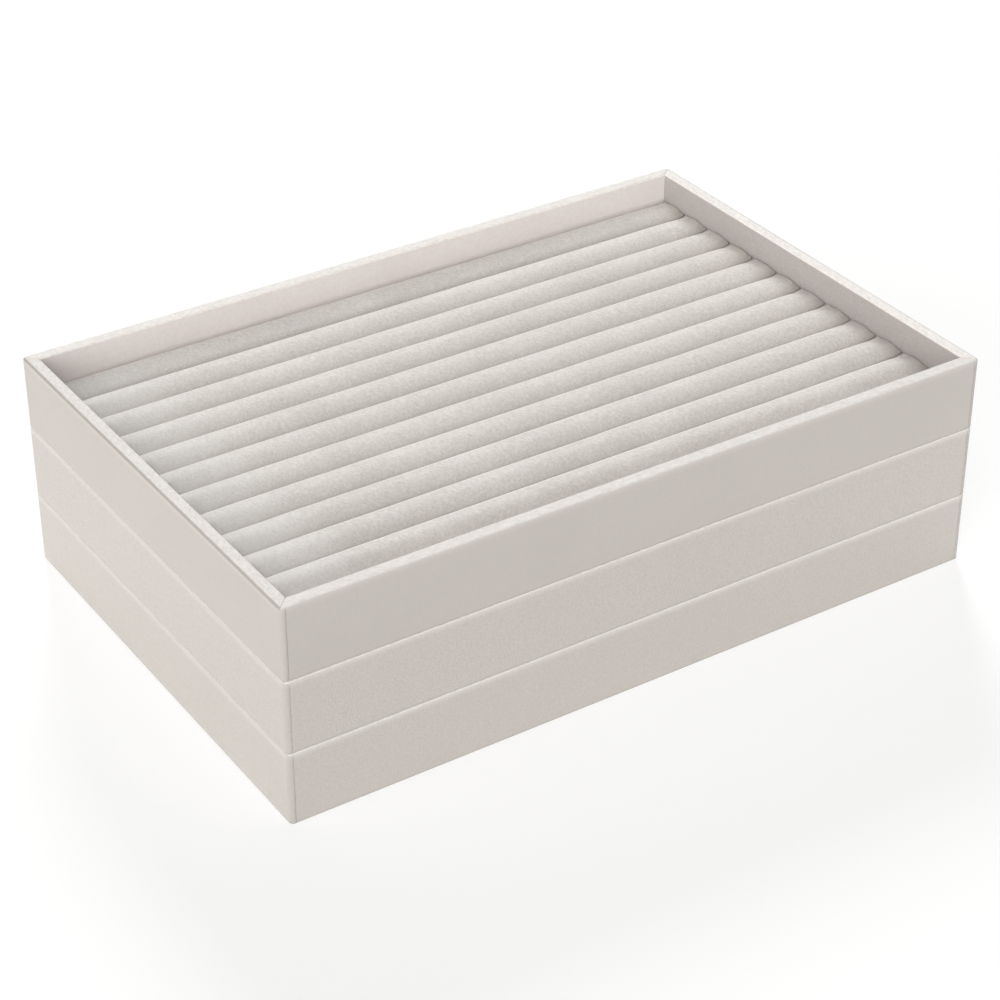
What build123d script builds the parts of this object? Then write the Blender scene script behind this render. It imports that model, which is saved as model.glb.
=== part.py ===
from build123d import *
import os
from math import sqrt

os.makedirs("parts", exist_ok=True)

# Millimetres, +Z up. Three trays of one footprint stand in a stack: the
# compartment tray at the bottom, the grid tray on it, the ring tray on top.
# Long side along X, front wall towards -Y.

# Outer size of every tray
tray_length = 350.0
tray_width = 231.0
tray_height = 35.0

# Wall, from the outside in
cover_thickness = 0.8
wall_board_thickness = 3.8
liner_thickness = 1.2

# Base, from the underside up
base_sheet_thickness = 0.8
base_board_thickness = 3.0
floor_pad_thickness = 1.2

# Wrapped cover: rounded corners and edges, how high its lower edge hangs,
# and the fine seams at the corners
cover_corner_radius = 1.8
rim_edge_radius = 1.0
rim_inner_edge_radius = 0.4
cover_foot_radius = 0.4
cover_lift = 0.2
seam_width = 0.4
seam_depth = 0.25
seam_offset = 2.4

# Dividers: boards wrapped in velvet, with a rounded top edge
divider_thickness = 4.2
divider_edge_radius = 1.5
slot_clearance = 0.1
end_clearance = 0.1
cross_divider_drop = 2.0
long_divider_drop = 3.2
row_divider_drop = 2.5
cell_divider_drop = 4.5

# Counts of compartments
grid_columns = 6
grid_rows = 4
bottom_rows = 3
bottom_cells = 4

# The outermost compartments, each from its liner to the middle of the next
# divider; the compartments between them share the rest evenly
grid_left_column = 55.5
grid_right_column = 52.1
grid_front_row = 55.0
grid_back_row = 49.0
bottom_front_row = 73.7
bottom_back_row = 69.9
bottom_left_cell = 85.2
bottom_right_cell = 78.0

# Ring rolls: foam rolls wrapped in velvet
roll_count = 12
roll_gap = 0.3
roll_end_gap = 0.3
roll_drop = 10.8
crown_height = 5.85
roll_end_radius = 3.0
crown_end_rise = 0.2

# How far a cutting shape runs past what it cuts
overrun = 2.0

# Places worked out from the sizes above
cover_inner_length = tray_length - 2 * cover_thickness
cover_inner_width = tray_width - 2 * cover_thickness
board_inner_length = cover_inner_length - 2 * wall_board_thickness
board_inner_width = cover_inner_width - 2 * wall_board_thickness
inner_length = board_inner_length - 2 * liner_thickness
inner_width = board_inner_width - 2 * liner_thickness
board_floor = base_sheet_thickness + base_board_thickness
pad_top = board_floor + floor_pad_thickness
wall_top = tray_height - cover_thickness


def across(length):
    return (-length / 2, length / 2)


def slab(x_span, y_span, z_span):
    spans = (x_span, y_span, z_span)
    size = [high - low for low, high in spans]
    middle = [(high + low) / 2 for low, high in spans]
    return Pos(*middle) * Box(*size)


def save(shape, name, foot):
    shape = Pos(0, 0, foot) * shape
    export_step(shape, "parts/" + name + ".step")


def base_sheet():
    # Velvet paper glued to the underside; the tray rests on it
    return slab(across(cover_inner_length), across(cover_inner_width), (0, base_sheet_thickness))


def base_board():
    z_span = (base_sheet_thickness, board_floor)
    return slab(across(board_inner_length), across(board_inner_width), z_span)


def long_wall(side):
    # Front wall for side -1, back wall for side 1; both run the full length
    outer = side * cover_inner_width / 2
    inner = side * board_inner_width / 2
    y_span = (min(outer, inner), max(outer, inner))
    return slab(across(cover_inner_length), y_span, (base_sheet_thickness, wall_top))


def short_wall(side):
    # Left wall for side -1, right wall for side 1; both stand between the long walls
    outer = side * cover_inner_length / 2
    inner = side * board_inner_length / 2
    x_span = (min(outer, inner), max(outer, inner))
    return slab(x_span, across(board_inner_width), (base_sheet_thickness, wall_top))


def long_liner(side):
    outer = side * board_inner_width / 2
    inner = side * inner_width / 2
    y_span = (min(outer, inner), max(outer, inner))
    return slab(across(board_inner_length), y_span, (board_floor, wall_top))


def short_liner(side):
    outer = side * board_inner_length / 2
    inner = side * inner_length / 2
    x_span = (min(outer, inner), max(outer, inner))
    return slab(x_span, across(inner_width), (board_floor, wall_top))


def floor_pad():
    return slab(across(inner_length), across(inner_width), (board_floor, pad_top))


def corner_seams():
    # A fine line across each rim corner and one down each wrapped corner
    seams = []
    rim_width = (tray_length - inner_length) / 2
    reach = rim_width * sqrt(2) + 2 * overrun
    for x_side in (-1, 1):
        for y_side in (-1, 1):
            x_mid = x_side * (tray_length - rim_width) / 2
            y_mid = y_side * (tray_width - rim_width) / 2
            turn = 45 * x_side * y_side
            mitre = Box(reach, seam_width, 2 * seam_depth)
            seams.append(Pos(x_mid, y_mid, tray_height) * Rot(0, 0, turn) * mitre)
            x_seam = x_side * (tray_length / 2 - seam_offset)
            y_face = y_side * tray_width / 2
            fold = Box(seam_width, 2 * seam_depth, tray_height - 2 * rim_edge_radius)
            seams.append(Pos(x_seam, y_face, tray_height / 2) * fold)
    return seams


def outer_cover():
    # Leatherette round the four walls, folded over the rim to the liners
    cover = slab(across(tray_length), across(tray_width), (cover_lift, tray_height))
    cover = fillet(cover.edges().filter_by(Axis.Z), cover_corner_radius)
    cover = fillet(cover.faces().sort_by(Axis.Z)[-1].edges(), rim_edge_radius)
    cover = fillet(cover.faces().sort_by(Axis.Z)[0].edges(), cover_foot_radius)
    board_room = slab(across(cover_inner_length), across(cover_inner_width), (-overrun, wall_top))
    well = slab(across(inner_length), across(inner_width), (-overrun, tray_height + overrun))
    cover = cover - board_room - well
    rim = cover.faces().sort_by(Axis.Z)[-1]
    cover = fillet(rim.inner_wires()[0].edges(), rim_inner_edge_radius)
    for seam in corner_seams():
        cover = cover - seam
    return cover


def board_divider(x_span, y_span, drop, slots, slot_z_span):
    # A wrapped board with its top edges rounded, and half-lap slots cut in it
    divider = slab(x_span, y_span, (pad_top, tray_height - drop))
    along = Axis.X if x_span[1] - x_span[0] > y_span[1] - y_span[0] else Axis.Y
    top_edges = divider.faces().sort_by(Axis.Z)[-1].edges().filter_by(along)
    divider = fillet(top_edges, divider_edge_radius)
    for slot_x_span, slot_y_span in slots:
        divider = divider - slab(slot_x_span, slot_y_span, slot_z_span)
    return divider


def around(middle, half):
    return (middle - half, middle + half)


def places(length, count, first, last):
    pitch = (length - first - last) / max(count - 2, 1)
    return [first + pitch * i - length / 2 for i in range(count - 1)]


half_board = divider_thickness / 2
half_slot = half_board + slot_clearance
divider_x_span = across(inner_length - 2 * end_clearance)
divider_y_span = across(inner_width - 2 * end_clearance)
lap_z = (pad_top + tray_height - long_divider_drop) / 2
grid_x_places = places(inner_length, grid_columns, grid_left_column, grid_right_column)
grid_y_places = places(inner_width, grid_rows, grid_front_row, grid_back_row)
row_y_places = places(inner_width, bottom_rows, bottom_front_row, bottom_back_row)
cell_x_places = places(inner_length, bottom_cells, bottom_left_cell, bottom_right_cell)


def long_divider(y_mid):
    # Runs the full length; slotted from above where the cross dividers drop in
    slots = []
    for x_mid in grid_x_places:
        slots.append((around(x_mid, half_slot), around(y_mid, half_board + overrun)))
    slot_z_span = (lap_z, tray_height + overrun)
    return board_divider(divider_x_span, around(y_mid, half_board), long_divider_drop, slots, slot_z_span)


def cross_divider(x_mid):
    # Runs the full width; slotted from below, so its top edge is unbroken
    slots = []
    for y_mid in grid_y_places:
        slots.append((around(x_mid, half_board + overrun), around(y_mid, half_slot)))
    slot_z_span = (-overrun, lap_z + slot_clearance)
    return board_divider(around(x_mid, half_board), divider_y_span, cross_divider_drop, slots, slot_z_span)


def row_divider(y_mid):
    return board_divider(divider_x_span, around(y_mid, half_board), row_divider_drop, [], None)


def cell_divider(x_mid):
    # Stands between the front liner and the front row divider
    front = -inner_width / 2 + end_clearance
    back = row_y_places[0] - half_board - end_clearance
    return board_divider(around(x_mid, half_board), (front, back), cell_divider_drop, [], None)


def ring_roll(index):
    # Flat underneath, straight sides, a crowned top and drawn-in ends
    pitch = inner_width / roll_count
    y_mid = pitch * (index + 0.5) - inner_width / 2
    half = (pitch - roll_gap) / 2
    top = tray_height - roll_drop
    shoulder = top - crown_height
    section = Polyline((-half, shoulder), (-half, board_floor), (half, board_floor), (half, shoulder))
    section += ThreePointArc((half, shoulder), (0, top), (-half, shoulder))
    end = inner_length / 2 - roll_end_gap
    roll = extrude(Plane.YZ * make_face(section), end, both=True)
    rise = top + crown_end_rise
    turn_x = end - roll_end_radius
    turn_z = rise - roll_end_radius
    bend = roll_end_radius / sqrt(2)
    side = Polyline((-end, turn_z), (-end, board_floor - overrun), (end, board_floor - overrun), (end, turn_z))
    side += ThreePointArc((end, turn_z), (turn_x + bend, turn_z + bend), (turn_x, rise))
    side += Line((turn_x, rise), (-turn_x, rise))
    side += ThreePointArc((-turn_x, rise), (-turn_x - bend, turn_z + bend), (-end, turn_z))
    reach = half + overrun
    roll = roll & extrude(Plane.XZ * make_face(side), reach, both=True)
    return Pos(0, y_mid, 0) * roll


def save_shell(tray, foot):
    # The pieces every tray has
    save(base_sheet(), tray + "_base_sheet", foot)
    save(base_board(), tray + "_base_board", foot)
    save(outer_cover(), tray + "_outer_cover", foot)
    for side, name in ((-1, "front"), (1, "back")):
        save(long_wall(side), tray + "_wall_" + name, foot)
        save(long_liner(side), tray + "_liner_" + name, foot)
    for side, name in ((-1, "left"), (1, "right")):
        save(short_wall(side), tray + "_wall_" + name, foot)
        save(short_liner(side), tray + "_liner_" + name, foot)


bottom_foot = 0
grid_foot = tray_height
ring_foot = 2 * tray_height

save_shell("bottom", bottom_foot)
save(floor_pad(), "bottom_floor_pad", bottom_foot)
for i, y_mid in enumerate(row_y_places):
    save(row_divider(y_mid), f"bottom_row_divider_{i + 1}", bottom_foot)
for i, x_mid in enumerate(cell_x_places):
    save(cell_divider(x_mid), f"bottom_cell_divider_{i + 1}", bottom_foot)

save_shell("grid", grid_foot)
save(floor_pad(), "grid_floor_pad", grid_foot)
for i, y_mid in enumerate(grid_y_places):
    save(long_divider(y_mid), f"grid_long_divider_{i + 1}", grid_foot)
for i, x_mid in enumerate(grid_x_places):
    save(cross_divider(x_mid), f"grid_cross_divider_{i + 1}", grid_foot)

save_shell("ring", ring_foot)
for i in range(roll_count):
    save(ring_roll(i), f"ring_roll_{i + 1:02d}", ring_foot)
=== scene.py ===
from math import cos, pi, radians, sin

import bmesh
import bpy
from mathutils import Matrix, Vector


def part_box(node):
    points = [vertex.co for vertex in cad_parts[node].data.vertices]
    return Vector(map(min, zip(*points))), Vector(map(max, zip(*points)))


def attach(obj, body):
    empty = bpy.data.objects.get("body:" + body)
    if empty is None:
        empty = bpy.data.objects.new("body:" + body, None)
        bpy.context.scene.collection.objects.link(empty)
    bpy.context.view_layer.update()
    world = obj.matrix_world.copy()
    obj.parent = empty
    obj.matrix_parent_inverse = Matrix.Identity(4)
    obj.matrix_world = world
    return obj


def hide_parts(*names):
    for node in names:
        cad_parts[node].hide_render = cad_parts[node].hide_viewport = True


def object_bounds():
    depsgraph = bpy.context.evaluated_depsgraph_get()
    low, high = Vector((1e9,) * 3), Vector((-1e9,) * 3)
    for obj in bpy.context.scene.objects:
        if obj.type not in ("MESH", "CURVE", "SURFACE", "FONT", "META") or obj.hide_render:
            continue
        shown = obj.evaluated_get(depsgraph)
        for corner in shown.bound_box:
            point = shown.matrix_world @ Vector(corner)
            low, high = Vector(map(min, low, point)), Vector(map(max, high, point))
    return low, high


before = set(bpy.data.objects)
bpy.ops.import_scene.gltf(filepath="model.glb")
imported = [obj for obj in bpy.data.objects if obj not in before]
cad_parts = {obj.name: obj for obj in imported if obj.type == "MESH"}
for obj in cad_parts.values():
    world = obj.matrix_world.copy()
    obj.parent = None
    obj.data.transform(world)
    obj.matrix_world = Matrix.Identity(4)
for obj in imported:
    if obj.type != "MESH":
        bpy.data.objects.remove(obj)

print("frame loaded:", len(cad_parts), "nodes")
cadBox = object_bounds()
trays = ("bottom", "grid", "ring")
hair = 0.0001             # metres: how sharply one tray's tone gives way to the next one's


class Signal:
    # one socket of a node tree that reads like a number in a sum
    def __init__(self, book, socket):
        self.book, self.socket = book, socket

    def __add__(self, other):
        return self.book.math("ADD", self, other)

    def __radd__(self, other):
        return self.book.math("ADD", other, self)

    def __sub__(self, other):
        return self.book.math("SUBTRACT", self, other)

    def __rsub__(self, other):
        return self.book.math("SUBTRACT", other, self)

    def __mul__(self, other):
        return self.book.math("MULTIPLY", self, other)

    def __rmul__(self, other):
        return self.book.math("MULTIPLY", other, self)

    def __truediv__(self, other):
        return self.book.math("DIVIDE", self, other)

    def __pow__(self, other):
        return self.book.math("POWER", self, other)

    def __abs__(self):
        return self.book.math("ABSOLUTE", self)

    def clamped(self):
        return self.book.math("MAXIMUM", self.book.math("MINIMUM", self, 1.0), 0.0)

    def between(self, low, high):
        # 0 at low, 1 at high, straight in between
        return ((self - low) / (high - low)).clamped()


class NodeBook:
    # writes nodes into one tree, for shaders and for geometry
    def __init__(self, tree):
        self.tree = tree
        tree.nodes.clear()

    def find(self, sockets, key):
        if isinstance(key, int):
            return sockets[key]
        for socket in sockets:
            if socket.enabled and key in (socket.name, socket.identifier):
                return socket
        raise KeyError(key)

    def feed(self, socket, value):
        if isinstance(value, Signal):
            self.tree.links.new(value.socket, socket)
        else:
            socket.default_value = value

    def node(self, kind, settings=None, sockets=None):
        made = self.tree.nodes.new(kind)
        for key, value in (settings or {}).items():
            setattr(made, key, value)
        for key, value in (sockets or {}).items():
            self.feed(self.find(made.inputs, key), value)
        return made

    def out(self, made, key=0):
        return Signal(self, self.find(made.outputs, key))

    def math(self, operation, *terms):
        return self.out(self.node("ShaderNodeMath", {"operation": operation}, dict(enumerate(terms))))

    def mixColour(self, share, first, second, mode="MIX"):
        made = self.node("ShaderNodeMix", {"data_type": "RGBA", "blend_type": mode},
                         {"Factor": share, "A": first, "B": second})
        return self.out(made, "Result")

    def split(self, vector):
        made = self.node("ShaderNodeSeparateXYZ", None, {"Vector": vector})
        return [self.out(made, key) for key in "XYZ"]

    def combine(self, x, y, z):
        return self.out(self.node("ShaderNodeCombineXYZ", None, {"X": x, "Y": y, "Z": z}))

    def noise(self, vector, scale, detail=2.0, roughness=0.55, distortion=0.0):
        made = self.node("ShaderNodeTexNoise", None, {
            "Vector": vector, "Scale": scale, "Detail": detail,
            "Roughness": roughness, "Distortion": distortion})
        return self.out(made, "Fac")

    def stretched(self, vector, scale, turn=(0.0, 0.0, 0.0)):
        # a pattern's space turned, then drawn out by a scale for each axis
        turned = self.node("ShaderNodeMapping", {"vector_type": "POINT"},
                           {"Vector": vector, "Rotation": tuple(radians(a) for a in turn)})
        drawn = self.node("ShaderNodeMapping", {"vector_type": "POINT"},
                          {"Vector": self.out(turned), "Scale": scale})
        return self.out(drawn)

    def objectPlace(self):
        return self.out(self.node("ShaderNodeTexCoord"), "Object")


def colour(red, green, blue):
    # a colour as a picture program shows it, 0 to 255, made linear
    def linear(v):
        v = v / 255
        return v / 12.92 if v <= 0.04045 else ((v + 0.055) / 1.055) ** 2.4
    return (linear(red), linear(green), linear(blue), 1.0)


def newMaterial(name):
    material = bpy.data.materials.new(name)
    material.use_nodes = True
    return material, NodeBook(material.node_tree)


def finishMaterial(book, look, baseColour, roughness, height):
    bump = book.node("ShaderNodeBump", None, {
        "Strength": look["bumpStrength"], "Distance": look["bumpDepth"], "Height": height})
    shader = book.node("ShaderNodeBsdfPrincipled", None, {
        "Base Color": baseColour, "Roughness": roughness, "Normal": book.out(bump),
        "Specular IOR Level": look["specular"], "Sheen Weight": look["sheen"],
        "Sheen Roughness": look["sheenRoughness"], "Sheen Tint": look["sheenTint"]})
    book.node("ShaderNodeOutputMaterial", None, {"Surface": book.out(shader, "BSDF")})


velvetLooks = {
    # noises: detail, roughness and distortion; shares: how much each one says in the colour
    "shared": dict(
        pileNoise=(2.0, 0.6), streakNoise=(2.0, 0.5, 0.3),
        tuftNoise=(3.0, 0.6, 0.4), driftNoise=(3.0, 0.5),
        pilesPerTuft=5, pileShare=0.9, streakShare=1.1, tuftShare=0.7, driftShare=0.6,
        fleckPile=(0.62, 0.74), fleckStreak=(0.48, 0.62), fleckShare=0.25, fleckGloss=0.12,
        pileHeight=0.55, streakHeight=0.45, tuftHeight=0.35),
    "rollVelvet": dict(
        dark=colour(207, 202, 196), light=colour(241, 237, 231), fleck=colour(252, 249, 245),
        pile=1500.0, streak=(1050.0, 420.0, 1050.0), lean=(10.0, 14.0, -18.0), drift=30.0,
        pileShare=0.6, streakShare=1.3, tuftShare=0.45, fleckShare=0.7,
        bumpStrength=0.55, bumpDepth=0.0005, roughness=0.92,
        specular=0.12, sheen=0.5, sheenRoughness=0.3, sheenTint=colour(255, 250, 244)),
    # linerVelvetLong and linerVelvetShort are lit and shaded copies of one velvet: painted light on the
    # faces turned front and back, painted shade on those turned to the sides
    "linerVelvetLong": dict(
        dark=colour(243, 234, 230), light=colour(254, 247, 243), fleck=colour(255, 251, 248),
        top=colour(252, 245, 240),
        pile=1700.0, streak=(700.0, 1700.0, 1700.0), lean=(0.0, 25.0, 0.0), drift=26.0,
        bumpStrength=0.35, bumpDepth=0.0004, roughness=0.94,
        specular=0.1, sheen=0.2, sheenRoughness=0.4, sheenTint=colour(255, 248, 244)),
    "linerVelvetShort": dict(
        dark=colour(187, 180, 176), light=colour(207, 200, 196), fleck=colour(222, 216, 213),
        top=colour(255, 251, 247),
        pile=1700.0, streak=(1700.0, 700.0, 1700.0), lean=(25.0, 0.0, 0.0), drift=26.0,
        bumpStrength=0.35, bumpDepth=0.0004, roughness=0.94,
        specular=0.1, sheen=0.2, sheenRoughness=0.4, sheenTint=colour(255, 250, 244)),
    # the pads are darker than the liners, partly their own colour and partly painted shade; the grid's
    # copy is painted darker than the bottom's, as painted shade
    "padSuedeGrid": dict(
        dark=colour(154, 149, 143), light=colour(173, 168, 162), fleck=colour(186, 182, 176),
        pile=1400.0, streak=(900.0, 1500.0, 1500.0), lean=(0.0, 0.0, 40.0), drift=22.0,
        fleckShare=0.2, bumpStrength=0.3, bumpDepth=0.0003, roughness=0.96,
        specular=0.08, sheen=0.1, sheenRoughness=0.5, sheenTint=colour(250, 248, 240)),
    "padSuedeBottom": dict(
        dark=colour(173, 169, 163), light=colour(194, 190, 184), fleck=colour(207, 203, 198),
        pile=1400.0, streak=(900.0, 1500.0, 1500.0), lean=(0.0, 0.0, 40.0), drift=22.0,
        fleckShare=0.2, bumpStrength=0.3, bumpDepth=0.0003, roughness=0.96,
        specular=0.08, sheen=0.1, sheenRoughness=0.5, sheenTint=colour(250, 248, 240)),
    "baseVelvet": dict(
        dark=colour(176, 170, 164), light=colour(204, 198, 192), fleck=colour(222, 218, 212),
        pile=1300.0, streak=(800.0, 1300.0, 1300.0), lean=(0.0, 0.0, 75.0), drift=18.0,
        fleckShare=0.3, bumpStrength=0.4, bumpDepth=0.0004, roughness=0.96,
        specular=0.08, sheen=0.15, sheenRoughness=0.5, sheenTint=colour(250, 246, 240)),
}
# the rolls carry painted light and shade: a painted highlight on the back shoulder, painted shade
# on the front side and in the groove; shares across a roll run from 0 at its front to 1 at its back,
# and lengths are in metres
rollShading = dict(
    lit=colour(255, 253, 250), backFrom=0.70, backTo=0.83, backShare=0.9,
    paintedShade=colour(150, 144, 137), frontFrom=0.1, frontTo=0.5, frontShare=0.24,
    grooveFrom=0.0028, grooveTo=0.0055, grooveShare=0.2,
    duskLength=0.018, duskShare=0.5, paleFrom=0.008, paleTo=0.05, paleShare=0.35,
    tipLength=0.012, tipFront=0.3, tipBack=0.8, tipShare=0.7)
# liners and dividers: painted shade darkens the foot of each face, and the turned tops get a
# painted highlight; the bottom and ring trays' velvet is painted darker still, as painted shade
heightLook = dict(
    footFrom=0.1, footTo=0.85, footTone=0.93, bottomTone=0.84, ringTone=0.80,
    topFrom=0.15, topTo=0.5, topShare=0.85, topMiddle=0.65, topNap=1.3,
    topShade=(0.78, 0.765, 0.755, 1.0))


def paintedRollShading(book, place, base):
    x, y, z = book.split(place)
    firstLow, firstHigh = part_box("ring_roll_01")
    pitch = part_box("ring_roll_02")[0].y - firstLow.y
    across = book.math("FRACT", (y - (firstLow.y + firstHigh.y - pitch) / 2) / pitch)
    # painted shade on the front side and a painted highlight on the back shoulder of each roll
    front = 1 - across.between(rollShading["frontFrom"], rollShading["frontTo"])
    base = book.mixColour(front * rollShading["frontShare"], base, rollShading["paintedShade"])
    back = across.between(rollShading["backFrom"], rollShading["backTo"])
    base = book.mixColour(back * rollShading["backShare"], base, rollShading["lit"])
    groove = (firstHigh.z - z).between(rollShading["grooveFrom"], rollShading["grooveTo"])
    # the right ends turn down out of the light and get painted shade, and the left ones get painted
    # light for what their wall throws back
    dusk = 1 - (firstHigh.x - x).between(0.0, rollShading["duskLength"])
    paled = 1 - (x - firstLow.x).between(rollShading["paleFrom"], rollShading["paleTo"])
    base = book.mixColour(paled * rollShading["paleShare"], base, rollShading["lit"])
    # painted shade, darkest where a groove runs into the liner
    nearEnd = 1 - (firstHigh.x - abs(x)).between(0.0, rollShading["tipLength"])
    inGroove = 1 - across.between(0.0, rollShading["tipFront"]) + across.between(rollShading["tipBack"], 1.0)
    # painted shade in the groove and at the right ends
    shade = groove * rollShading["grooveShare"] + dusk ** 2 * rollShading["duskShare"]
    shade = shade + nearEnd * nearEnd * inGroove * rollShading["tipShare"]
    return book.mixColour(shade.clamped(), base, rollShading["paintedShade"])


def paledUpwards(book, place, base, top, nap):
    z = book.split(place)[2]
    trayHeight = (cadBox[1][2] - cadBox[0][2]) / len(trays)
    # painted shade: darker towards the foot of each face, darker still in the bottom and ring trays
    rise = book.math("FRACT", z / trayHeight).between(heightLook["footFrom"], heightLook["footTo"])
    tone = heightLook["footTone"] + (1 - heightLook["footTone"]) * rise
    inBottom = 1 - z.between(trayHeight - hair, trayHeight + hair)
    inRing = z.between(2 * trayHeight - hair, 2 * trayHeight + hair)
    tone = tone * (1 - inBottom * (1 - heightLook["bottomTone"]) - inRing * (1 - heightLook["ringTone"]))
    base = book.mixColour(1.0, base, book.combine(tone, tone, tone), "MULTIPLY")
    # painted highlight on the upward-facing tops
    upward = book.split(book.out(book.node("ShaderNodeTexCoord"), "Normal"))[2]
    wearAndHighlight = upward.between(heightLook["topFrom"], heightLook["topTo"]) * heightLook["topShare"]
    shaded = book.mixColour(1.0, top, heightLook["topShade"], "MULTIPLY")
    lifted = (heightLook["topMiddle"] + (nap - 0.5) * heightLook["topNap"]).clamped()
    return book.mixColour(wearAndHighlight, base, book.mixColour(lifted, shaded, top))


def velvet(name):
    look = dict(velvetLooks["shared"], **velvetLooks[name])
    material, book = newMaterial(name)
    place = book.objectPlace()
    pile = book.noise(place, look["pile"], *look["pileNoise"])
    streak = book.noise(book.stretched(place, look["streak"], look["lean"]), 1.0, *look["streakNoise"])
    tuft = book.noise(place, look["pile"] / look["pilesPerTuft"], *look["tuftNoise"])
    drift = book.noise(place, look["drift"], *look["driftNoise"])
    # brushed nap: fine pile, leaning strands and soft patches where a hand has passed
    nap = 0.5 + (pile - 0.5) * look["pileShare"] + (streak - 0.5) * look["streakShare"]
    nap = nap + (tuft - 0.5) * look["tuftShare"] + (drift - 0.5) * look["driftShare"]
    base = book.mixColour(nap.clamped(), look["dark"], look["light"])
    flecks = pile.between(*look["fleckPile"]) * streak.between(*look["fleckStreak"]) * look["fleckShare"]
    base = book.mixColour(flecks, base, look["fleck"])
    # painted light and shade go on the rolls, and on the liners and dividers
    if name == "rollVelvet":
        base = paintedRollShading(book, place, base)
    if name.startswith("linerVelvet"):
        base = paledUpwards(book, place, base, look["top"], nap)
    height = pile * look["pileHeight"] + streak * look["streakHeight"] + tuft * look["tuftHeight"]
    roughness = look["roughness"] - flecks * look["fleckGloss"]
    finishMaterial(book, look, base, roughness, height)
    return material


leatherLooks = {
    "shared": dict(
        body=colour(186, 180, 175), hollow=colour(175, 170, 164), rim=colour(207, 201, 195),
        wearAndHighlight=colour(245, 241, 236), footDark=colour(148, 142, 135), fold=colour(150, 143, 136),
        cornerShade=colour(164, 159, 154), specular=0.28, sheen=0.06, sheenRoughness=0.4,
        sheenTint=colour(255, 252, 248), roughness=0.6, backRimTone=1.0,
        pebble=1050.0, pebbleBlend=0.6, pebbleRange=(0.15, 0.75),
        crease=640.0, creaseNoise=(3.0, 0.6, 0.6),
        cloud=24.0, cloudNoise=(3.0, 0.5), cloudRange=(0.42, 0.72),
        fibreRun=420.0, fibreWidth=900.0, fibreTurn=9, fibreNoise=(3.0, 0.6, 0.5),
        # shares of each mark in the colour, then in the relief and the gloss
        pebbleShare=0.7, creaseShare=1.2, hollowShare=0.25, cloudShare=0.25, palingShare=0.3,
        cornerShadeShare=0.85, rimShare=0.95, footShare=0.35, rimMiddle=0.6, rimFibre=2.0,
        pebbleHeight=0.6, creaseHeight=0.35, fibreHeight=0.9, creaseGloss=0.25, rimGloss=0.15),
    # grain and fuzz differ a little from tray to tray, as three cuts of one hide would; the paler
    # bottom and grid rims, the darker ring body and each side's rim tone are painted light and shade
    "bottom": dict(rim=colour(232, 228, 223), wearAndHighlight=colour(253, 251, 248), rightRimTone=0.87,
                   grain=0.9, fibre=1.0, foldShare=0.35, bumpStrength=0.5, bumpDepth=0.00035),
    "grid": dict(rim=colour(226, 221, 216), wearAndHighlight=colour(252, 249, 246), rightRimTone=0.91,
                 grain=1.0, fibre=1.2, foldShare=0.3, bumpStrength=0.55, bumpDepth=0.00035),
    "ring": dict(body=colour(178, 172, 167), hollow=colour(168, 163, 157),
                 rightRimTone=1.12, backRimTone=1.08,
                 grain=0.45, fibre=0.7, foldShare=0.75, bumpStrength=0.3, bumpDepth=0.0003),
}
# where each mark on a cover starts and ends, in metres up from its top or foot, or in from its side
coverMarks = dict(
    rim=(-0.0007, -0.00005), paling=(-0.0042, -0.0008), cornerShadeWidth=(0.0006, 0.0022), mitre=0.0003,
    foldHeight=(-0.0012, -0.0008), foldWidth=(0.0006, 0.0011), lip=(0.0050, 0.0054), foot=(0.0, 0.0014),
    middle=0.001)


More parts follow.
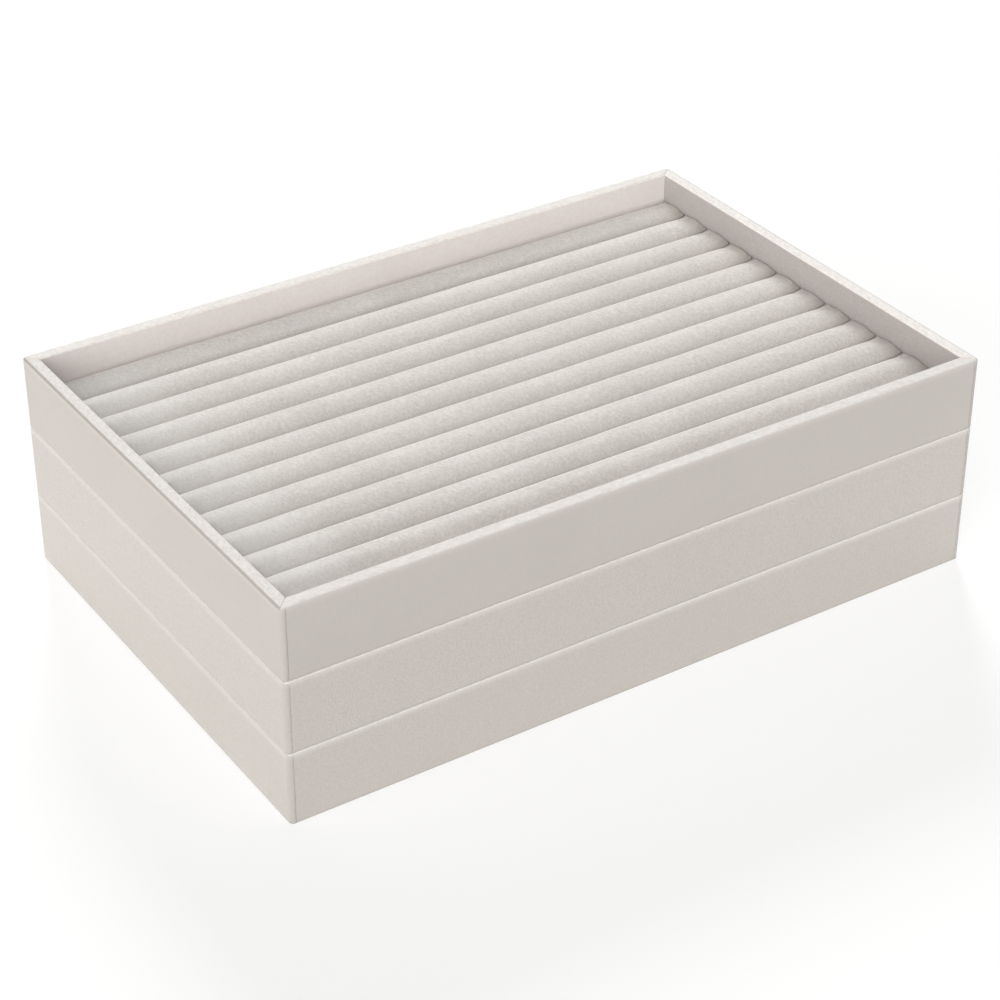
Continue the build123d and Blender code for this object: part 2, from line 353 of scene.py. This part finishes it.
def leatherette(tray):
    look = dict(leatherLooks["shared"], **leatherLooks[tray])
    low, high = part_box(tray + "_outer_cover")
    material, book = newMaterial(tray + "Leatherette")
    place = book.objectPlace()
    x, y, z = book.split(place)
    fromTop = z - high.z
    fromShort = high.x - abs(x)
    fromLong = high.y - abs(y)
    voronoi = book.node("ShaderNodeTexVoronoi", {"feature": "SMOOTH_F1"}, {
        "Vector": place, "Scale": look["pebble"],
        "Smoothness": look["pebbleBlend"], "Randomness": 1.0})
    cells = book.out(voronoi, "Distance")
    crease = book.noise(place, look["crease"], *look["creaseNoise"])
    cloud = book.noise(place, look["cloud"], *look["cloudNoise"])

    # fibres run along each rim: drawn out in X over the long walls, in Y over the short ones
    run, width, turn = look["fibreRun"], look["fibreWidth"], (0, 0, look["fibreTurn"])
    alongX = book.noise(book.stretched(place, (run, width, width), turn), 1.0, *look["fibreNoise"])
    alongY = book.noise(book.stretched(place, (width, run, width), turn), 1.0, *look["fibreNoise"])
    onShort = (fromLong - fromShort).between(-coverMarks["mitre"], coverMarks["mitre"])
    fibre = alongX + (alongY - alongX) * onShort
    onRight = onShort * x.between(-coverMarks["middle"], coverMarks["middle"])
    onBack = (1 - onShort) * y.between(-coverMarks["middle"], coverMarks["middle"])
    # on the back wall the lip inside the rim is as pale as the rim: partly the rim's own colour
    # carried over its inner edge, partly painted light over the shade there
    lip = (high.y - y).between(*coverMarks["lip"]) * onBack
    onRim = book.math("MAXIMUM", fromTop.between(*coverMarks["rim"]), lip)

    # painted highlight: the cover pales softly towards its upper edge; painted shade darkens it
    # round its corners
    paling = fromTop.between(*coverMarks["paling"]) ** 2
    nearShort = 1 - fromShort.between(*coverMarks["cornerShadeWidth"])
    nearLong = 1 - fromLong.between(*coverMarks["cornerShadeWidth"])
    # painted shade: a fine dark line where the cover turns over the outer edge of the short walls
    outerEdge = 1 - fromShort.between(*coverMarks["foldWidth"])
    fold = outerEdge * fromTop.between(*coverMarks["foldHeight"]) * onShort
    # the cover is darker along its foot
    foot = 1 - (z - low.z).between(*coverMarks["foot"])

    grain = cells.between(*look["pebbleRange"]) * look["pebbleShare"]
    grain = grain + (crease - 0.5) * look["creaseShare"] + look["hollowShare"]
    grain = grain.clamped() * look["grain"]
    base = book.mixColour(grain, look["body"], look["hollow"])
    base = book.mixColour(cloud.between(*look["cloudRange"]) * look["cloudShare"], base, look["hollow"])
    # painted highlight towards the upper edge, painted shade round the corners
    base = book.mixColour(paling * look["palingShare"], base, look["rim"])
    base = book.mixColour(nearShort * nearLong * look["cornerShadeShare"], base, look["cornerShade"])

    # the rim is painted lighter or darker on its right and back sides: painted highlight and
    # painted shade
    fuzz = (look["rimMiddle"] + (fibre - 0.5) * look["rimFibre"] * look["fibre"]).clamped()
    tone = 1 + onRight * (look["rightRimTone"] - 1) + onBack * (look["backRimTone"] - 1)
    rim = book.mixColour(1.0, book.mixColour(fuzz, look["rim"], look["wearAndHighlight"]),
                         book.combine(tone, tone, tone), "MULTIPLY")
    base = book.mixColour(onRim * look["rimShare"], base, rim)
    # painted shade along the short walls' outer edge
    base = book.mixColour(fold * look["foldShare"], base, look["fold"])
    base = book.mixColour(foot * look["footShare"], base, look["footDark"])
    height = crease * look["creaseHeight"] - cells * look["pebbleHeight"] * look["grain"]
    height = height + onRim * fibre * look["fibreHeight"] * look["fibre"]
    roughness = look["roughness"] + (crease - 0.5) * look["creaseGloss"] + onRim * look["rimGloss"]
    finishMaterial(book, look, base, roughness, height)
    return material


boardLook = dict(
    pulp=colour(160, 148, 132), chip=colour(120, 108, 94), flake=colour(190, 180, 166),
    fibre=(240.0, 1400.0, 1400.0), fibreTurn=(10, 15, 20), fibreNoise=(4.0, 0.6, 0.8),
    fibreRange=(0.35, 0.65), fibreHeight=0.7, fibreGloss=0.1,
    chips=520.0, chipNoise=(2.0, 0.7), chipRange=(0.62, 0.72), chipShare=0.8, chipHeight=0.3,
    bumpStrength=0.5, bumpDepth=0.0003, roughness=0.9, specular=0.15,
    sheen=0.0, sheenRoughness=0.5, sheenTint=colour(255, 255, 255))


def greyboard():
    material, book = newMaterial("greyboard")
    look = boardLook
    place = book.objectPlace()
    strands = book.stretched(place, look["fibre"], look["fibreTurn"])
    fibre = book.noise(strands, 1.0, *look["fibreNoise"])
    chips = book.noise(place, look["chips"], *look["chipNoise"])
    base = book.mixColour(fibre.between(*look["fibreRange"]), look["pulp"], look["flake"])
    base = book.mixColour(chips.between(*look["chipRange"]) * look["chipShare"], base, look["chip"])
    roughness = look["roughness"] - fibre * look["fibreGloss"]
    height = fibre * look["fibreHeight"] + chips * look["chipHeight"]
    finishMaterial(book, look, base, roughness, height)
    return material


materials = {name: velvet(name) for name in velvetLooks if name != "shared"}
materials.update({tray: leatherette(tray) for tray in trays})
materials["board"] = greyboard()
print("materials made:", len(materials))


def finishFor(node):
    tray, part = node.split("_", 1)
    if part == "outer_cover":
        return materials[tray]
    if part == "base_sheet":
        return materials["baseVelvet"]
    if part == "floor_pad":
        return materials["padSuede" + tray.capitalize()]
    if part.startswith(("wall_", "base_board")):
        return materials["board"]
    if part in ("liner_left", "liner_right") or part.startswith(("cross_divider", "cell_divider")):
        return materials["linerVelvetShort"]
    if part.startswith("roll_"):
        return materials["rollVelvet"]
    return materials["linerVelvetLong"]


for name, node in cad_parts.items():
    for slot in node.material_slots:
        slot.material = finishFor(name)
print("finishes assigned")


# lengths in metres
rollShape = {
    "stepsAlong": 96, "stepsAround": 20, "weld": 0.00002, "subdivisions": 1,
    "crown": 0.0058,          # height of the rounded top above its straight sides
    # where the crown ends and the side ends, from 0 at the top to 1 at the middle of the foot
    "crownTo": 0.6, "sideTo": 0.8,
    # at each end the crown sinks and the grooves fill, so the line on the liner is nearly straight
    "endLength": 0.0105, "endPower": 2.1, "endDrop": 0.0026, "endFill": 0.0028,
    "endWidening": 0.00012, "endCap": 0.05,
    # the foam's unevenness: its size, its pattern and what tells one roll from the next
    "wobble": 0.00022, "wobbleScale": 34.0, "wobbleAcross": 1.5, "wobbleDetail": 2.0, "seedStep": 3.7,
    "foam": 0.85,             # how much of the roll's space the foam fills
    # the velvet starts a little slack on its foam and is then blown out
    "slack": 0.0002, "pressure": 4.0, "frames": 20, "mostMove": 0.0008, "glueHeight": 0.002,
}
rollSizes = ("Length", "Width", "Height", "Base", "Middle", "Crown",
             "End Length", "End Drop", "End Fill", "End Widening", "Wobble", "Wobble Scale", "Seed")


def rollTree(material):
    # a closed roll swept along X: squarish foot, crowned top, drawn-in ends
    tree = bpy.data.node_groups.new("ringRoll", "GeometryNodeTree")
    book = NodeBook(tree)
    tree.interface.new_socket("Geometry", in_out="OUTPUT", socket_type="NodeSocketGeometry")
    for size in rollSizes:
        tree.interface.new_socket(size, in_out="INPUT", socket_type="NodeSocketFloat")
    entry = book.node("NodeGroupInput")
    size = {key: book.out(entry, key) for key in rollSizes}
    # the grid's own places run from -1 to 1, along the roll and around it
    grid = book.node("GeometryNodeMeshGrid", None, {
        "Size X": 2.0, "Size Y": 2.0,
        "Vertices X": rollShape["stepsAlong"] + 1, "Vertices Y": rollShape["stepsAround"] + 1})
    along, around, flat = book.split(book.out(book.node("GeometryNodeInputPosition")))

    # rings crowd towards the ends, and the last few close each end
    capShare = rollShape["endCap"]
    run = book.math("MINIMUM", abs(along) / (1 - capShare), 1.0)
    x = book.math("SIGN", along) * book.math("SINE", run * (pi / 2)) * size["Length"] * 0.5
    shrink = ((1 - abs(along)) / capShare).clamped()
    intoEnd = ((size["End Length"] - (size["Length"] * 0.5 - abs(x))) / size["End Length"]).clamped()
    drawnIn = intoEnd ** rollShape["endPower"]

    # section: a round crown, then a straight side, then half of the flat foot
    half = size["Width"] * 0.5
    bend = (half * half + size["Crown"] * size["Crown"]) / (size["Crown"] * 2)
    reach = book.math("ARCSINE", half / bend)
    shoulder = size["Height"] - size["Crown"]
    overCrown = (abs(around) / rollShape["crownTo"]).clamped()
    downSide = abs(around).between(rollShape["crownTo"], rollShape["sideTo"])
    underFoot = abs(around).between(rollShape["sideTo"], 1.0)
    angle = overCrown * reach
    y = book.math("SIGN", around) * book.math("SINE", angle) * bend * (1 - underFoot)
    z = size["Height"] - bend + book.math("COSINE", angle) * bend - downSide * shoulder
    share = z / size["Height"]
    onCrown = ((z - shoulder) / size["Crown"]).clamped()
    filled = (1 - onCrown) * (z / shoulder).clamped() * size["End Fill"]
    z = z + drawnIn * (filled - onCrown * size["End Drop"])
    y = y * (1 + drawnIn * share * 2 * size["End Widening"] / size["Width"])
    endMiddle = (size["Height"] - size["End Drop"]) * 0.5
    z = endMiddle + (z - endMiddle) * shrink
    y = y * shrink

    # the foam is never quite even
    spot = book.combine(x, y * rollShape["wobbleAcross"], z)
    uneven = book.node("ShaderNodeTexNoise", {"noise_dimensions": "4D"}, {
        "Vector": spot, "W": size["Seed"],
        "Scale": size["Wobble Scale"], "Detail": rollShape["wobbleDetail"]})
    bulge = (book.out(uneven, "Fac") - 0.5) * 2 * size["Wobble"] * share
    y = y * (1 + bulge / size["Width"])
    z = z + bulge
    moved = book.node("GeometryNodeSetPosition", None, {
        "Geometry": book.out(grid, "Mesh"),
        "Position": book.combine(x, y + size["Middle"], z + size["Base"])})
    closed = book.node("GeometryNodeMergeByDistance", None, {
        "Geometry": book.out(moved), "Distance": rollShape["weld"]})
    smooth = book.node("GeometryNodeSetShadeSmooth", None, {"Geometry": book.out(closed)})
    realized = book.node("GeometryNodeRealizeInstances", None, {"Geometry": book.out(smooth)})
    dressed = book.node("GeometryNodeSetMaterial", None, {
        "Geometry": book.out(realized), "Material": material})
    book.node("NodeGroupOutput", None, {"Geometry": book.out(dressed)})
    return tree


def shapeFrom(name, tree, values, source=None):
    # runs a tree on its own holder and keeps what it makes as a plain mesh
    holder = bpy.data.objects.new(name + "Holder", source or bpy.data.meshes.new(name + "Holder"))
    bpy.context.scene.collection.objects.link(holder)
    modifier = holder.modifiers.new("shape", "NODES")
    modifier.node_group = tree
    for item in tree.interface.items_tree:
        if item.item_type == "SOCKET" and item.in_out == "INPUT" and item.name in values:
            modifier[item.identifier] = values[item.name]
    ready = holder.evaluated_get(bpy.context.evaluated_depsgraph_get())
    mesh = bpy.data.meshes.new_from_object(ready)
    mesh.name = name
    holder.modifiers.remove(modifier)
    bpy.data.objects.remove(holder)
    piece = bpy.data.objects.new(name, mesh)
    bpy.context.scene.collection.objects.link(piece)
    return piece


def faceOutwards(piece):
    work = bmesh.new()
    work.from_mesh(piece.data)
    bmesh.ops.remove_doubles(work, verts=work.verts, dist=rollShape["weld"] / 2)
    bmesh.ops.recalc_face_normals(work, faces=work.faces)
    work.to_mesh(piece.data)
    work.free()


def swell(rolls):
    # cloth under pressure over the foam, glued at its foot, with each point's way held short
    scene = bpy.context.scene
    starts = []
    for roll in rolls:
        starts.append([vertex.co.copy() for vertex in roll.data.vertices])
        glueTop = min(point.z for point in starts[-1]) + rollShape["glueHeight"]
        glued = roll.vertex_groups.new(name="glued")
        glued.add([i for i, point in enumerate(starts[-1]) if point.z < glueTop], 1.0, "REPLACE")
        cloth = roll.modifiers.new("swell", "CLOTH")
        cloth.settings.vertex_group_mass = "glued"
        cloth.settings.use_pressure = True
        cloth.settings.uniform_pressure_force = rollShape["pressure"]
        cloth.settings.effector_weights.gravity = 0.0
        cloth.collision_settings.use_collision = False
        cloth.point_cache.frame_start = 1
        cloth.point_cache.frame_end = rollShape["frames"]
    for step in range(1, rollShape["frames"] + 1):
        scene.frame_set(step)
    graph = bpy.context.evaluated_depsgraph_get()
    furthest = 0.0
    for roll, start in zip(rolls, starts):
        blown = [vertex.co.copy() for vertex in roll.evaluated_get(graph).data.vertices]
        roll.modifiers.clear()
        roll.vertex_groups.clear()
        for vertex, before, after in zip(roll.data.vertices, start, blown):
            way = after - before
            furthest = max(furthest, way.length)
            if way.length > rollShape["mostMove"]:
                way *= rollShape["mostMove"] / way.length
            vertex.co = before + way
    scene.frame_set(1)
    print("velvet blown out, furthest point before the cap:", round(furthest * 1000, 2), "mm")


def keepInside(roll, low, high):
    # the blown velvet stays in the space of the CAD roll, but may stand a little wider at its ends
    for vertex in roll.data.vertices:
        intoEnd = max(0.0, 1 - (high.x - abs(vertex.co.x)) / rollShape["endLength"])
        give = Vector((0.0, rollShape["endWidening"] * intoEnd, 0.0))
        bounds = zip(vertex.co, low - give, high + give)
        vertex.co = [min(max(value, least), most) for value, least, most in bounds]


def subdivided(roll):
    modifier = roll.modifiers.new("subdivision", "SUBSURF")
    modifier.levels = modifier.render_levels = rollShape["subdivisions"]
    finer = bpy.data.meshes.new_from_object(roll.evaluated_get(bpy.context.evaluated_depsgraph_get()))
    roll.modifiers.remove(modifier)
    roll.data = finer


def makeRolls():
    tree = rollTree(materials["rollVelvet"])
    slack = rollShape["slack"]
    nodes = sorted(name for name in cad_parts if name.startswith("ring_roll_"))
    rolls = []
    for number, node in enumerate(nodes, 1):
        low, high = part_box(node)
        roll = shapeFrom(f"velvetRoll{number:02d}", tree, {
            "Length": high.x - low.x - 2 * slack, "Width": high.y - low.y - 2 * slack,
            "Height": high.z - low.z - slack,
            "Base": low.z, "Middle": (low.y + high.y) / 2, "Crown": rollShape["crown"],
            "End Length": rollShape["endLength"], "End Drop": rollShape["endDrop"],
            "End Fill": rollShape["endFill"], "End Widening": rollShape["endWidening"],
            "Wobble": rollShape["wobble"], "Wobble Scale": rollShape["wobbleScale"],
            "Seed": number * rollShape["seedStep"]})
        faceOutwards(roll)
        rolls.append(roll)
    swell(rolls)
    for roll, node in zip(rolls, nodes):
        keepInside(roll, *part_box(node))
        subdivided(roll)
        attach(roll, "ring_tray")
        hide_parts(node)
    return rolls


rolls = makeRolls()
print("ring rolls made:", len(rolls), "of", len(rolls[0].data.polygons), "faces each")


floorLook = dict(
    size=12.0, segments=4, roughness=0.9, specular=0.1,
    # what lights the trays from below, and what the camera sees of it: just white where
    # nothing stands in the light
    shade=colour(252, 252, 251), lift=0.387,
    seenShade=colour(172, 172, 171), seenLift=0.61)


def makeFloor():
    mesh = bpy.data.meshes.new("floor")
    work = bmesh.new()
    segments = floorLook["segments"]
    bmesh.ops.create_grid(work, x_segments=segments, y_segments=segments, size=floorLook["size"])
    bmesh.ops.translate(work, verts=work.verts, vec=(0, 0, cadBox[0][2]))
    work.to_mesh(mesh)
    work.free()
    floor = bpy.data.objects.new("floor", mesh)
    bpy.context.scene.collection.objects.link(floor)
    material, book = newMaterial("paleFloor")
    seen = book.out(book.node("ShaderNodeLightPath"), "Is Camera Ray")
    sides = []
    for shade, lift in (("shade", "lift"), ("seenShade", "seenLift")):
        sides.append(book.node("ShaderNodeBsdfPrincipled", None, {
            "Base Color": floorLook[shade], "Roughness": floorLook["roughness"],
            "Specular IOR Level": floorLook["specular"],
            "Emission Color": (1.0, 1.0, 1.0, 1.0), "Emission Strength": floorLook[lift]}))
    both = book.node("ShaderNodeMixShader", None, {
        0: seen, 1: book.out(sides[0], "BSDF"), 2: book.out(sides[1], "BSDF")})
    book.node("ShaderNodeOutputMaterial", None, {"Surface": book.out(both)})
    mesh.materials.append(material)


lightLook = {
    "sky": 0.16, "backdrop": 1.0,
    # soft lamps: strength, degrees from +Y towards +X, degrees up, softness in degrees
    "lamps": {
        "backRight": (2.05, 28.0, 30.0, 18.0),
        "left": (1.578, -95.0, 15.0, 50.0),
        "frontLow": (1.327, 205.0, 10.0, 40.0),
        "frontLeftHigh": (1.2, 222.0, 49.0, 25.0),
    },
}


def direction(azimuth, height):
    # degrees from +Y towards +X, then degrees up
    flat = cos(radians(height))
    return Vector((sin(radians(azimuth)) * flat, cos(radians(azimuth)) * flat, sin(radians(height))))


def makeLight():
    world = bpy.data.worlds.new("softRoom")
    world.use_nodes = True
    bpy.context.scene.world = world
    book = NodeBook(world.node_tree)
    seen = book.out(book.node("ShaderNodeLightPath"), "Is Camera Ray")
    skyStrength = lightLook["sky"] + (lightLook["backdrop"] - lightLook["sky"]) * seen
    sky = book.node("ShaderNodeBackground", None, {
        "Color": (1.0, 1.0, 1.0, 1.0), "Strength": skyStrength})
    book.node("ShaderNodeOutputWorld", None, {"Surface": book.out(sky)})
    for name, (strength, azimuth, height, softness) in lightLook["lamps"].items():
        lamp = bpy.data.lights.new(name, "SUN")
        lamp.energy = strength
        lamp.angle = radians(softness)
        lampObject = bpy.data.objects.new(name, lamp)
        bpy.context.scene.collection.objects.link(lampObject)
        towardsLamp = direction(azimuth, height)
        lampObject.matrix_world = towardsLamp.to_track_quat("Z", "Y").to_matrix().to_4x4()


cameraLook = dict(
    lens=96.27, sensor=36.0,                 # millimetres
    azimuth=33.18, height=-32.52,            # the way it looks: from +Y towards +X, and up
    place=(-0.55866, -0.85413, 0.68191),     # metres
    clip=(0.01, 50.0),
    body="grid_tray")


def makeCamera():
    ahead = direction(cameraLook["azimuth"], cameraLook["height"])
    right = ahead.cross(Vector((0, 0, 1))).normalized()
    upward = right.cross(ahead)
    lens = bpy.data.cameras.new("camera")
    lens.sensor_width = cameraLook["sensor"]
    lens.lens = cameraLook["lens"]
    lens.clip_start, lens.clip_end = cameraLook["clip"]
    camera = bpy.data.objects.new("camera", lens)
    bpy.context.scene.collection.objects.link(camera)
    turned = Matrix((right, upward, -ahead)).transposed().to_4x4()
    camera.matrix_world = Matrix.Translation(cameraLook["place"]) @ turned
    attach(camera, cameraLook["body"])
    bpy.context.scene.camera = camera


makeFloor()
makeLight()
makeCamera()
bpy.context.scene.view_settings.view_transform = "Standard"
print("floor, light and camera made")
